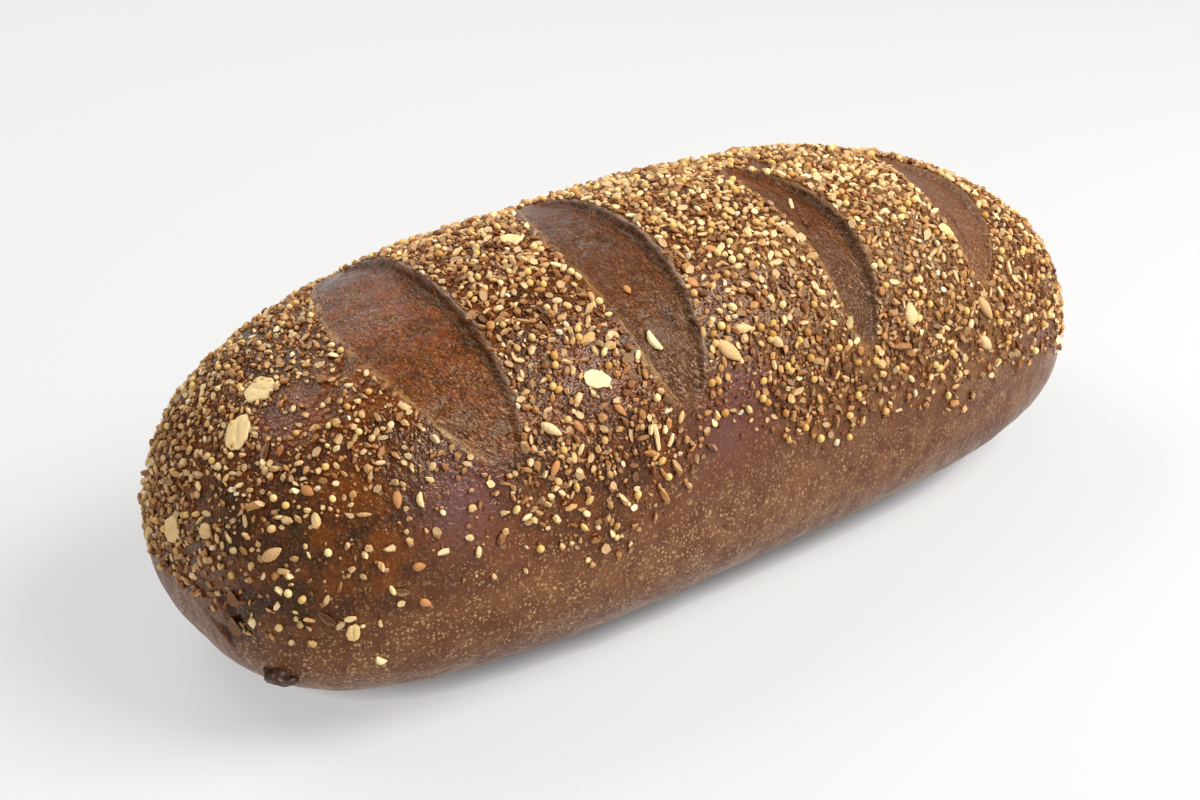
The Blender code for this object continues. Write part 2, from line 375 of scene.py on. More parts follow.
def topping_edge(x):
    """The angles where the topping ends on the front and on the back of the loaf."""
    station = 2 * x / LENGTH
    spread = 22 * abs(station) ** 8
    bay = 15 * math.exp(-(((x + 0.010) / 0.020) ** 2))
    front = 75 + 3 * math.sin(14 * station + 1) + spread - bay
    back = -74 - 4 * math.sin(11 * station + 2) - spread
    return math.radians(front), math.radians(back)


def topping_share(x, angle):
    """How thick the topping lies at a place, 0 to 1, before the scores are left out."""
    front, back = topping_edge(x)
    fade = math.radians(26)
    return smooth_step(0.5 + (front - angle) / fade) * smooth_step(0.5 + (angle - back) / fade)


def cover_at(x, angle):
    """How thick grains lie at a place: none in the scores, and patchy where the dough was dry."""
    share = topping_share(x, angle)
    if share <= 0:
        return 0.0
    score, along, left, right = nearest_score(x, angle)
    if -0.01 < along < 1.01 and left - 0.0004 < x < right + 0.0001:
        return 0.0
    patch = 0.8 * noise.noise(Vector((x * 40, angle * 2.6, 4.0)))
    patch += 0.6 * noise.noise(Vector((x * 110, angle * 7.0, 8.0)))
    degrees = math.degrees(angle)
    near_end = smooth_step((-x - 0.060) / 0.05) * (0.45 + 0.55 * smooth_step((degrees + 5) / 40))
    low_front = smooth_step((degrees - 32) / 30) * smooth_step((-x - 0.002) / 0.03)
    return share * (1.0 - 0.46 * near_end - 0.40 * low_front) * smooth_step(0.92 + 0.95 * patch)


bm = bmesh.new()
bmesh.ops.create_grid(bm, x_segments=CRUST_RINGS, y_segments=CRUST_SEGMENTS, size=0.5)
look_names = ("opened", "ear", "seam", "topped", "flank", "cover", "glossy_and_painted_sheen", "pits_and_painted_shade")
look_layers = {name: bm.verts.layers.float.new(name) for name in look_names}
flow_layer = bm.verts.layers.float_vector.new("flow")
for vert in bm.verts:
    ring, turn = vert.co.x + 0.5, 2 * math.pi * vert.co.y
    angle = turn - TOP_BIAS * math.sin(turn - TOP_CENTRE)
    angle = (angle + math.pi) % (2 * math.pi) - math.pi
    x = ring_station(ring, angle)
    look = crust_look(x, angle)
    topped = topping_share(x, angle)
    start = skin_point(x, angle)
    slid = skin_point(x + look["slide"], angle) if look["slide"] else start
    glossy_and_painted_sheen, pits_and_painted_shade = patch_share(start, GLOSSY_AND_PAINTED_SHEEN), max(patch_share(start, PIERCED), crack_share(x, angle))
    offset = crust_relief(start, look, topped) - look["sunk"] - PIT_DEPTH * pits_and_painted_shade
    # The painted shade under the ears is carried with the pits and drawn in their dark colour
    pits_and_painted_shade = max(pits_and_painted_shade, 0.8 * look["shade"])
    if 1e-9 < ring < 1 - 1e-9:
        vert.co = slid + skin_normal(x + look["slide"], angle) * offset
    else:
        vert.co = start
    vert.co.z = max(vert.co.z, 0.0)
    for name in ("opened", "ear", "seam"):
        vert[look_layers[name]] = look[name]
    vert[look_layers["topped"]] = topped
    vert[look_layers["glossy_and_painted_sheen"]] = glossy_and_painted_sheen
    vert[look_layers["pits_and_painted_shade"]] = pits_and_painted_shade
    vert[look_layers["cover"]] = cover_at(x, angle) * (1 - patch_share(start, BARE))
    vert[look_layers["flank"]] = smooth_step((abs(angle) - math.radians(60)) / math.radians(35))
    vert[flow_layer] = look["flow"]
rim = [vert for vert in bm.verts if vert.is_boundary]
bmesh.ops.remove_doubles(bm, verts=rim, dist=1e-6)
bmesh.ops.recalc_face_normals(bm, faces=bm.faces)
if bm.calc_volume(signed=True) < 0:
    bmesh.ops.reverse_faces(bm, faces=bm.faces)
crust_mesh = bpy.data.meshes.new("crust")
bm.to_mesh(crust_mesh)
bm.free()
crust_mesh.shade_smooth()
crust = bpy.data.objects.new("crust", crust_mesh)
bpy.context.scene.collection.objects.link(crust)


def screen(red, green, blue):
    """A colour as a screen shows it, 0 to 255, in the linear values that a shader takes."""
    parts = (value / 255 for value in (red, green, blue))
    return (*(part / 12.92 if part < 0.04045 else ((part + 0.055) / 1.055) ** 2.4 for part in parts), 1.0)


class Value:
    """One socket of a material. Arithmetic on it adds Math nodes, and node() adds any other."""

    def __init__(self, socket):
        self.socket = socket

    def node(self, kind, settings, inputs, output=0):
        tree = self.socket.id_data
        made = tree.nodes.new("ShaderNode" + kind)
        for name, setting in settings.items():
            setattr(made, name, setting)
        for name, given in inputs.items():
            if isinstance(given, Value):
                tree.links.new(given.socket, made.inputs[name])
            else:
                made.inputs[name].default_value = given
        return Value(made.outputs[output])

    def math(self, operation, first, second):
        return self.node("Math", {"operation": operation}, {0: first, 1: second})

    def __add__(self, other):
        return self.math("ADD", self, other)

    def __radd__(self, other):
        return self.math("ADD", other, self)

    def __sub__(self, other):
        return self.math("SUBTRACT", self, other)

    def __rsub__(self, other):
        return self.math("SUBTRACT", other, self)

    def __mul__(self, other):
        return self.math("MULTIPLY", self, other)

    def __rmul__(self, other):
        return self.math("MULTIPLY", other, self)

    def ramp(self, low, high):
        """0 up to low, 1 from high on, and a smooth rise between."""
        limits = {"Value": self, "From Min": low, "From Max": high}
        return self.node("MapRange", {"interpolation_type": "SMOOTHSTEP"}, limits)

    def noise(self, scale, detail=2.0, roughness=0.55):
        inputs = {"Vector": self, "Scale": scale, "Detail": detail, "Roughness": roughness}
        return self.node("TexNoise", {}, inputs)

    def cells(self, scale, output="Distance"):
        return self.node("TexVoronoi", {"feature": "F1"}, {"Vector": self, "Scale": scale}, output)

    def stretch(self, x, y, z):
        return self.node("VectorMath", {"operation": "MULTIPLY"}, {0: self, 1: (x, y, z)})

    def mix(self, nothing, full):
        """The colour nothing where this is 0 and full where it is 1."""
        return self.node("Mix", {"data_type": "RGBA"}, {0: self, 6: nothing, 7: full}, 2)

    def part(self, axis):
        """One number of a vector: 0, 1 or 2 for x, y or z."""
        return self.node("SeparateXYZ", {}, {"Vector": self}, axis)


def start_finish(name):
    """A new material with its shader and the place of each point on the loaf."""
    material = bpy.data.materials.new(name)
    material.use_nodes = True
    tree = material.node_tree
    place = Value(tree.nodes.new("ShaderNodeTexCoord").outputs["Object"])
    return material, tree.nodes["Principled BSDF"], place


def attribute(place, name, output="Fac"):
    """What the mesh says of that name at each point."""
    return place.node("Attribute", {"attribute_name": name}, {}, output)


def finish_shader(shader, inputs):
    for name, given in inputs.items():
        if isinstance(given, Value):
            shader.id_data.links.new(given.socket, shader.inputs[name])
        else:
            shader.inputs[name].default_value = given


dark_crust, shader, place = start_finish("dark_crust")
opened = attribute(place, "opened")
ear = attribute(place, "ear")
seam = attribute(place, "seam")
topped = attribute(place, "topped")
flank = attribute(place, "flank")
glossy_and_painted_sheen = attribute(place, "glossy_and_painted_sheen")
pits_and_painted_shade = attribute(place, "pits_and_painted_shade")
flow = attribute(place, "flow", "Vector")
far_end = place.part(0).ramp(-0.05, 0.07)

# The skin: syrup glaze from burnt to rust at the near end, dusted and golden at the far end, and below it a
# plain flank, paler at its foot
coarse = place.noise(38, 3)
medium = place.noise(150, 3)
fine = place.noise(900, 3, 0.6)
glazed = (coarse * 0.25 + medium * 0.45 + fine * 0.30).ramp(0.42, 0.60)
near_colour = glazed.mix(screen(*BURNT_CROWN), screen(*RUST_GLAZE))
far_colour = glazed.mix(screen(*DUSTED_BROWN), screen(*DUSTED_GOLD))
crown_colour = far_end.mix(near_colour, far_colour)
foot = flank * (medium * 0.6 + coarse * 0.4).ramp(0.34, 0.70)
flank_colour = foot.mix(screen(*FLANK_BROWN), screen(*FOOT_BROWN))


def dots(scale, low, high, kept):
    """Round specks of one size, of which a share is kept."""
    chance = place.node("SeparateColor", {}, {"Color": place.cells(scale, "Color")})
    edge = place.cells(scale) + 0.30 * fine
    return (1 - edge.ramp(low, high)) * chance.ramp(1 - kept, 1.15 - kept)


specks = 0.9 * dots(440, 0.20, 0.52, 0.35) + 0.9 * dots(800, 0.30, 0.60, 0.50)
specks = specks + 0.9 * dots(1350, 0.32, 0.62, 0.55)
specks = specks.ramp(0.0, 0.9) * (1 - opened) * (1 - 0.8 * glossy_and_painted_sheen) * (0.45 + 0.55 * flank)
clusters = (0.55 * place.noise(85, 2) + 0.45 * place.noise(320, 2)).ramp(0.38, 0.60)
smudges = place.noise(620, 3, 0.7).ramp(0.52, 0.80) * clusters * flank * (1 - opened)
specks = (specks * (0.45 + 0.60 * clusters) + 0.40 * smudges) * (1 - 0.40 * far_end)
skin_colour = topped.mix(flank_colour, crown_colour)
skin_colour = (specks * (0.90 - 0.50 * topped)).mix(skin_colour, screen(*TAN_SPECK))
# A mauve sheen is painted into the colour where the glaze is glossy
skin_colour = (glossy_and_painted_sheen * 0.85).mix(skin_colour, screen(*MAUVE_PAINTED_SHEEN))

# The scores' floors: new crust, drawn out in fibres along each score, from orange where it baked hard to a
# dull grey brown, with golden flecks, and wet and bubbly where the syrup gathered, with pale glints painted
# on the fibres low in each score
warm = flow.part(2)
strands = flow.stretch(900, 330, 1).noise(1.0, 3, 0.6)
tone = (0.44 * strands + 0.34 * medium + 0.22 * coarse).ramp(0.41, 0.59)
warm_colour = tone.mix(screen(*OPENED_DARK), screen(*OPENED_BROWN))
farthest = place.part(0).ramp(0.055, 0.085)
dull_colour = farthest.mix(screen(*DULL_BROWN), screen(*FAR_BROWN))
dull_colour = (tone * (1 - 0.6 * farthest)).mix(dull_colour, screen(*DULL_DARK))
opened_colour = warm.mix(dull_colour, warm_colour)
flecks = 0.7 * flow.stretch(2300, 1400, 1).noise(1.0, 2, 0.6).ramp(0.50, 0.66)
flecks = flecks + 0.7 * flow.stretch(1250, 640, 1).noise(1.0, 2, 0.6).ramp(0.53, 0.68)
drifts = flow.stretch(420, 150, 1).noise(1.0, 3, 0.6).ramp(0.36, 0.62)
flecks = flecks * (0.35 + 0.65 * drifts) * (0.12 + 0.40 * warm)
opened_colour = flecks.mix(opened_colour, screen(*GOLDEN_FLECK))
wet = (medium + place.noise(75, 2)).ramp(0.85, 1.15)
grainy = flow.stretch(1500, 820, 1).noise(1.0, 2, 0.5)
low_floor = 1 - place.part(2).ramp(0.070, 0.094)
dark_fibres = 1 - flow.stretch(1500, 240, 1).noise(1.0, 3, 0.65).ramp(0.34, 0.50)
opened_colour = (dark_fibres * (0.80 - 0.40 * farthest)).mix(opened_colour, screen(*OPENED_DARK))
ridges = flow.stretch(950, 400, 1).noise(1.0, 3, 0.65)
# Painted glints: pale strokes on the fibres, most where the floor is wet and low
painted_glints = 0.6 * grainy.ramp(0.54, 0.66) + 0.8 * ridges.ramp(0.55, 0.64)
painted_glints = painted_glints * (0.25 + 0.75 * wet) * (0.15 + 0.60 * low_floor)
opened_colour = painted_glints.mix(opened_colour, screen(*PAINTED_GLINT_TAN))
colour = opened.mix(skin_colour, opened_colour)

# Over both: the tan line where the skin parted, the grey ear, and the pits and the crack, in whose dark
# colour the painted shade line under each ear is drawn too
colour = (seam * strands.ramp(0.34, 0.60) * drifts.ramp(0.0, 0.7) * 0.8).mix(colour, screen(*SEAM_TAN))
ear_lines = flow.stretch(1800, 130, 1).noise(1.0, 3, 0.6)
colour = (ear * ear_lines.ramp(0.35, 0.60) * 0.9).mix(colour, screen(*EAR_BROWN))
colour = (pits_and_painted_shade * 0.95).mix(colour, screen(*PIT_AND_PAINTED_SHADE_DARK))

# The relief that light finds: fine wrinkles on the skin, and ridges along the fibres in the scores
pores = place.noise(950, 2, 0.5)
wrinkles = 0.60 * pores + 0.75 * place.noise(330, 2) + 0.05 * specks
streaks = 0.55 * grainy + 0.60 * strands + 0.40 * ridges
height = (wrinkles * (0.85 - 0.35 * flank)) * (1 - opened) + streaks * (0.75 + 0.60 * wet) * opened
relief = place.node("Bump", {}, {"Height": height, "Distance": 0.0010, "Strength": 1.0})
finish_shader(
    shader,
    {
        "Base Color": colour,
        "Roughness": 0.25 + 0.16 * flank * (1 - glossy_and_painted_sheen) - 0.13 * wet + 0.14 * ear,
        "Specular IOR Level": 0.35,
        "Specular Tint": (1.0, 0.86, 0.66, 1.0),
        "Normal": relief,
    },
)
crust.data.materials.append(dark_crust)
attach(crust, "root")
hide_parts("loaf")

# The topping's large parts: oat flakes, sunflower kernels, wheat husks and slivers of bran, which lie
# singly where the wetted loaf was rolled in the mix. Each is pressed flat, a quarter of it in the glaze.
PART_SUNK = 0.25

# Station, angle round the loaf, turn on the skin, length and width, in millimetres and degrees
OAT_FLAKES = [
    (-123.7, 2.7, -71, 8.9, 8.1),
    (-133.1, 9.9, -134, 9.6, 7.6),
    (-148.0, -24.0, 142, 9.4, 6.4),
    (-43.1, -1.6, -38, 6.2, 5.6),
    (-51.8, 47.5, -32, 7.7, 5.0),
    (84.0, 39.2, -57, 5.6, 4.4),
    (-127.8, 86.8, -94, 4.9, 3.4),
    (-12.0, -40.0, 30, 8.6, 7.4),
    (62.0, -48.0, 80, 8.0, 7.0),
]
KERNELS = [
    (-10.2, 51.6, -52, 9.0, 3.9),
    (-69.0, 54.1, -44, 6.6, 2.4),
    (55.5, 57.4, 77, 6.9, 4.4),
    (86.2, 62.6, -63, 8.6, 3.2),
    (83.7, 71.5, -49, 6.6, 3.2),
    (-139.6, 57.7, 9, 6.0, 2.8),
    (5.8, 53.3, -52, 4.2, 2.6),
    (29.0, 28.6, -35, 4.6, 3.4),
    (-3.4, 47.9, -11, 5.9, 2.6),
    (-146.3, 30.7, -81, 4.7, 4.0),
    (-78.0, -44.0, 20, 8.8, 4.0),
    (20.0, -52.0, -30, 8.4, 3.8),
]
CRESCENTS = [
    (-30.4, 43.7, -76, 6.4, 3.0),
    (-106.7, 58.3, -97, 4.2, 2.1),
    (-122.0, 102.0, -34, 3.3, 2.3),
]
SLIVERS = [
    (-39.9, 63.4, -93, 9.2, 1.5),
    (-35.7, 65.4, 54, 4.4, 1.3),
    (40.6, 17.3, -124, 6.0, 1.2),
    (-60.7, 18.4, -135, 4.8, 1.3),
    (-58.8, 49.9, -137, 3.8, 1.9),
    (95.6, 60.0, -68, 4.4, 1.4),
    (-101.2, 36.6, -60, 3.6, 2.0),
    (130.1, 27.2, -117, 6.0, 1.3),
]
HUSKS = [
    (-146.9, 72.5, -51, 4.3, 3.8),
    (-147.2, 90.3, -45, 4.9, 4.4),
    (-132.8, 81.4, -46, 5.5, 2.2),
    (-55.8, 27.4, -70, 5.2, 1.7),
    (-56.8, 30.0, -75, 3.8, 1.4),
    (-132.0, 26.0, 40, 5.6, 2.0),
    (-116.0, 78.0, -20, 4.2, 2.0),
]
TAN_FLAX = [
    (-129.0, 45.0, -61, 3.6, 2.4),
    (-111.9, 56.4, -103, 4.4, 2.2),
    (-110.9, 73.0, -8, 3.5, 2.1),
    (-110.6, 82.5, -37, 3.6, 2.0),
    (-61.4, 55.7, -63, 4.4, 1.9),
    (-48.5, 55.3, -60, 4.9, 1.8),
    (-71.1, 62.3, -130, 4.9, 2.0),
    (-10.6, 33.7, -63, 3.8, 2.6),
    (-28.7, 29.3, -87, 2.9, 1.9),
    (1.8, 26.8, -34, 4.4, 2.2),
]
# The colours of a skin: dark, bran, pale and floury, and how far the glaze browns it
PART_SKINS = {
    "flake_skin": ((206, 160, 98), (236, 200, 136), (248, 226, 172), (250, 232, 190), 0.3),
    "kernel_skin": ((150, 116, 80), (210, 168, 112), (244, 216, 160), (244, 226, 180), 0.4),
    "husk_skin": ((84, 54, 32), (134, 94, 58), (184, 142, 94), (196, 156, 108), 0.4),
    "flax_skin": ((160, 96, 48), (196, 134, 78), (216, 164, 104), (226, 190, 138), 0.3),
}
GLAZE_BROWN = (130, 68, 16)

draw = random.Random(5)


def rounded(segments, rings, bumps):
    """An egg of unit size with a slightly uneven skin."""
    bm = bmesh.new()
    bmesh.ops.create_uvsphere(bm, u_segments=segments, v_segments=rings, radius=0.5)
    for vert in bm.verts:
        vert.co *= draw.uniform(1 - bumps, 1 + bumps)
    for name in ("starch", "tint", "glaze"):
        bm.faces.layers.float.new(name)
    return bm


def as_shape(bm):
    bmesh.ops.recalc_face_normals(bm, faces=bm.faces)
    mesh = bpy.data.meshes.new("shape")
    bm.to_mesh(mesh)
    bm.free()
    return mesh


def oat_flake():
    """A rolled oat: a thin disc with a ragged rim and the groat's crease pressed into it."""
    bm = rounded(26, 14, 0.0)
    drift = draw.uniform(0, 50)
    for vert in bm.verts:
        outward = math.hypot(vert.co.x, vert.co.y) * 2
        rim = 1 + 0.26 * outward * noise.noise(Vector((vert.co.x * 4, vert.co.y * 4, drift)))
        crease = 0.35 * math.exp(-(((vert.co.y - 0.15 * vert.co.x**2) / 0.04) ** 2)) * (1 - outward**2)
        wave = 0.14 * noise.noise(Vector((vert.co.x * 5, vert.co.y * 5, drift + 9)))
        flat = math.copysign(abs(vert.co.z * 2) ** 0.5 / 2, vert.co.z)
        height = flat - crease * (vert.co.z > 0) + wave * outward
        vert.co = Vector((vert.co.x * rim, vert.co.y * rim, height))
    return as_shape(bm)


def kernel():
    """A sunflower kernel: a flat drop, blunt at one end and pointed at the other."""
    bm = rounded(12, 10, 0.02)
    for vert in bm.verts:
        taper = 1.12 - 0.7 * max(0.0, vert.co.x + 0.05) * (1 + vert.co.x)
        vert.co.y *= taper
        vert.co.z *= taper
    return as_shape(bm)


def crescent():
    bm = rounded(10, 8, 0.05)
    for vert in bm.verts:
        vert.co.y = vert.co.y * 0.8 + 1.3 * (vert.co.x**2 - 0.12)
    return as_shape(bm)


def sliver():
    bm = rounded(6, 6, 0.10)
    bend = draw.uniform(-0.6, 0.6)
    for vert in bm.verts:
        vert.co.y += bend * vert.co.x**2
        vert.co.y *= 1 + 0.5 * (abs(vert.co.x) > 0.3)
    return as_shape(bm)


def husk():
    """A curled scale of bran, thin and hollow, that stands up at its rims."""
    bm = bmesh.new()
    bmesh.ops.create_grid(bm, x_segments=7, y_segments=5, size=0.5)
    for vert in bm.verts:
        vert.co.y *= math.cos(2.4 * vert.co.x)
        vert.co.z = 2.2 * vert.co.y**2 + 0.5 * vert.co.x**2 - 0.3 + draw.uniform(-0.04, 0.04)
    for name in ("starch", "tint", "glaze"):
        bm.faces.layers.float.new(name)
    bmesh.ops.recalc_face_normals(bm, faces=bm.faces)
    bmesh.ops.solidify(bm, geom=bm.faces[:], thickness=0.09)
    return as_shape(bm)


class Ground:
    """The parts of the crust that can take a grain, and the grains that already lie there."""

    CELL = 0.006
    NEIGHBOURS = [(a, b, c) for a in (-1, 0, 1) for b in (-1, 0, 1) for c in (-1, 0, 1)]

    def __init__(self):
        self.spots, self.weights, self.taken = [], [], {}
        cover = crust_mesh.attributes["cover"].data
        for polygon in crust_mesh.polygons:
            share = min(cover[corner].value for corner in polygon.vertices)
            if share > 0.01:
                self.spots.append((polygon.center.copy(), polygon.normal.copy()))
                self.weights.append(share * polygon.area)

    def free(self, centre, radius, spacing):
        cell = tuple(int(value // self.CELL) for value in centre)
        for shift in self.NEIGHBOURS:
            for other, reach in self.taken.get(tuple(a + b for a, b in zip(cell, shift)), ()):
                if (other - centre).length < (reach + radius) * spacing:
                    return False
        self.taken.setdefault(cell, []).append((centre, radius))
        return True


ground = Ground()


def lay(maker, places, thickness, tint, glaze=0.15):
    """Lays single parts of the topping at their own places on the loaf."""
    laid = []
    for x, degrees, turn, length, width in places:
        x, angle = x / 1000, math.radians(degrees)
        normal = skin_normal(x, angle)
        forward = (Vector((1, 0, 0)) - normal * normal.x).normalized()
        axes = Matrix((forward, normal.cross(forward), normal)).transposed()
        turned = axes @ Matrix.Rotation(math.radians(turn), 3, "Z")
        size = Vector((length, width, thickness)) / 1000
        look = crust_look(x, angle)
        centre = skin_point(x, angle) - normal * look["sunk"]
        ground.free(centre, 0.0002 * (length + width), 0.6)
        raised = centre + normal * size.z * (0.5 - PART_SUNK)
        matrix = Matrix.LocRotScale(raised, turned.to_quaternion(), size)
        shape = maker()
        own_tint = min(1.0, max(0.0, draw.gauss(tint, 0.12)))
        laid.append((shape, matrix, own_tint, glaze * draw.uniform(0.5, 1.5)))
    return laid


def gather(name, laid, finish, smooth_degrees):
    """One piece of all the parts of a kind, riding on the loaf."""
    bm = bmesh.new()
    for shape, matrix, tint, glaze in laid:
        one = shape.copy()
        one.transform(matrix)
        one.attributes["tint"].data.foreach_set("value", [tint] * len(one.polygons))
        one.attributes["glaze"].data.foreach_set("value", [glaze] * len(one.polygons))
        bm.from_mesh(one)
        bpy.data.meshes.remove(one)
    mesh = bpy.data.meshes.new(name)
    bm.to_mesh(mesh)
    bm.free()
    mesh.shade_smooth()
    mesh.set_sharp_from_angle(angle=math.radians(smooth_degrees))
    piece = bpy.data.objects.new(name, mesh)
    bpy.context.scene.collection.objects.link(piece)
    mesh.materials.append(finish)
    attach(piece, "root")
    return piece


def grain_finish(name, dark, bran, pale, starch, browning):
    """A grain's skin: dark, bran or pale by its tint, floury where it broke, browned by the glaze."""
    material, shader, place = start_finish(name)
    tint = attribute(place, "tint")
    glaze = attribute(place, "glaze")
    broken = attribute(place, "starch")
    mottle = place.noise(1300, 2)
    tone = tint + 0.5 * mottle - 0.25
    skin = tone.ramp(0.45, 1.0).mix(tone.ramp(0.0, 0.5).mix(screen(*dark), screen(*bran)), screen(*pale))
    colour = (broken * (0.12 + 0.88 * tint)).mix(skin, screen(*starch))
    colour = (glaze * browning * (0.5 + mottle)).mix(colour, screen(*GLAZE_BROWN))
    bump = place.node("Bump", {}, {"Height": place.noise(2200, 3), "Distance": 0.0003, "Strength": 0.8})
    looks = {"Base Color": colour, "Roughness": 0.60 - 0.25 * glaze, "Normal": bump}
    finish_shader(shader, looks | {"Specular IOR Level": 0.4})
    return material


skins = {name: grain_finish(name, *colours) for name, colours in PART_SKINS.items()}

# A piece's name, maker, places, thickness in millimetres, tint and skin, and how sharp an edge stays sharp
LARGE_PARTS = [
    ("oat_flakes", oat_flake, OAT_FLAKES, 1.1, 0.7, "flake_skin", 50),
    ("sunflower_kernels", kernel, KERNELS, 2.4, 0.6, "kernel_skin", 60),
    ("crescents", crescent, CRESCENTS, 1.8, 0.95, "flake_skin", 60),
    ("slivers", sliver, SLIVERS, 1.2, 0.8, "kernel_skin", 40),
    ("husks", husk, HUSKS, 1.6, 0.35, "husk_skin", 40),
    ("tan_flax", kernel, TAN_FLAX, 1.2, 0.5, "flax_skin", 60),
]
for name, maker, places, thickness, tint, skin, smooth_degrees in LARGE_PARTS:
    gather(name, lay(maker, places, thickness, tint), skins[skin], smooth_degrees)

# The topping's small parts: cracked wheat and rye, whole millet, sesame, crumbs of bran and white chips,
# thousands of them, rolled on and baked fast. They lie closer, drier and paler towards the far end.
GRAIN_SUNK = 0.20
FINE_GRAIN = 0.0020
GRAIN_SKINS = {
    "wheat_skin": ((108, 64, 32), (188, 130, 72), (232, 192, 128), (248, 224, 170), 0.80),
    "millet_skin": ((204, 150, 74), (238, 194, 112), (248, 222, 156), (248, 222, 156), 0.40),
    "sesame_skin": ((180, 128, 70), (224, 182, 120), (242, 216, 164), (242, 216, 164), 0.5),
    "chip_skin": ((200, 164, 112), (230, 204, 156), (242, 226, 188), (244, 230, 198), 0.3),
    "crumb_skin": ((94, 46, 16), (156, 94, 40), (222, 180, 116), (226, 190, 128), 0.6),
}


def broken_grain(cuts, bumps=0.16):
    """A piece of cracked grain: uneven, with flat floury faces where it broke."""
    bm = bmesh.new()
    bmesh.ops.create_icosphere(bm, subdivisions=1, radius=0.5)
    layers = {name: bm.faces.layers.float.new(name) for name in ("starch", "tint", "glaze")}
    for vert in bm.verts:
        vert.co *= draw.uniform(1 - bumps, 1 + bumps)
    for _ in range(cuts):
        side = Vector((draw.gauss(0, 1), draw.gauss(0, 1), draw.gauss(0.35, 0.7))).normalized()
        geometry = bm.verts[:] + bm.edges[:] + bm.faces[:]
        reach = side * draw.uniform(0.08, 0.30)
        bmesh.ops.bisect_plane(bm, geom=geometry, plane_co=reach, plane_no=side, clear_outer=True)
        rim = [edge for edge in bm.edges if edge.is_boundary]
        for face in bmesh.ops.edgeloop_fill(bm, edges=rim)["faces"]:
            face[layers["starch"]] = 1.0
    return as_shape(bm)


def scatter(count, shapes, size, spread, tint, spacing=0.74, only_near=False):
    """Drops grains where they find room. They are glazed near the near end and pale at the far one."""
    settled = []
    for centre, normal in draw.choices(ground.spots, ground.weights, k=count):
        scale = math.exp(draw.gauss(0, spread))
        slender = math.exp(draw.gauss(0, 0.14))
        long, wide, thick = size[0] * scale * slender, size[1] * scale / slender, size[2] * scale
        nearness = smooth_step((-centre.x - 0.030) / 0.09)
        beneath = smooth_step((0.085 - centre.z) / 0.035)
        low = beneath * nearness * smooth_step((centre.x + 0.157) / 0.022)
        shrink = 1 - 0.20 * nearness + 0.22 * low
        if only_near and draw.random() > nearness or size[0] < FINE_GRAIN and draw.random() < 0.55 * low:
            continue
        if not ground.free(centre, 0.5 * shrink * math.sqrt(long * wide), spacing):
            continue
        tilted = (normal + Vector([draw.gauss(0, 0.22) for _ in range(3)])).normalized()
        spin = Matrix.Rotation(draw.uniform(0, 2 * math.pi), 3, "Z")
        turn = tilted.to_track_quat("Z", "X").to_matrix() @ spin
        middle = centre + normal * shrink * thick * (0.5 - GRAIN_SUNK)
        matrix = Matrix.LocRotScale(middle, turn.to_quaternion(), Vector((long, wide, thick)) * shrink)
        # Low on the near end grains are paler and less glazed: painted light where the lamps leave the end
        # dim
        glaze = draw.gauss(0.22 + (0.26 + 0.14 * beneath) * nearness - 0.32 * low, 0.28)
        below_crown = 0.22 * smooth_step((0.098 - centre.z) / 0.035) * (1 - nearness)
        tone = tint + 0.3 * centre.x + 0.30 * low + 0.08 * nearness * (1 - beneath) - below_crown
        tone = min(1.0, max(0.0, draw.gauss(tone, 0.28)))
        settled.append((draw.choice(shapes), matrix, tone, min(1.0, max(0.0, glaze))))
    return settled


chunks = [broken_grain(draw.choice((1, 2, 2, 3))) for _ in range(30)]
crumbs = [broken_grain(0, 0.30) for _ in range(12)]
beads = [as_shape(rounded(8, 6, 0.02)) for _ in range(3)]
near_chunks = scatter(1700, chunks, (0.0027, 0.0019, 0.0017), 0.24, 0.58, 1.05, True)
large = scatter(3200, chunks, (0.0032, 0.0021, 0.0018), 0.18, 0.62, 0.80)
longer = scatter(1500, chunks, (0.0040, 0.0016, 0.0014), 0.16, 0.50)
millet = scatter(1300, beads, (0.0022, 0.0021, 0.0020), 0.05, 0.60)
sesame = scatter(1200, beads, (0.0030, 0.0018, 0.0011), 0.08, 0.60)
chips = scatter(450, chunks, (0.0022, 0.0017, 0.0014), 0.20, 0.80)
medium_grains = scatter(8000, chunks, (0.0024, 0.0017, 0.0015), 0.20, 0.58, 0.74)
small_grains = scatter(10000, chunks, (0.0016, 0.0012, 0.0011), 0.22, 0.44, 0.68)
fines = scatter(20000, crumbs, (0.0009, 0.0007, 0.0006), 0.25, 0.36, 0.60)
skins = {name: grain_finish(name, *colours) for name, colours in GRAIN_SKINS.items()}
gather("cracked_wheat", near_chunks + large + longer, skins["wheat_skin"], 26)
gather("cracked_rye", medium_grains, skins["wheat_skin"], 26)
gather("millet", millet, skins["millet_skin"], 80)
gather("sesame", sesame, skins["sesame_skin"], 80)
gather("white_chips", chips, skins["chip_skin"], 26)
gather("small_grits", small_grains, skins["wheat_skin"], 26)
gather("crumbs", fines, skins["crumb_skin"], 30)

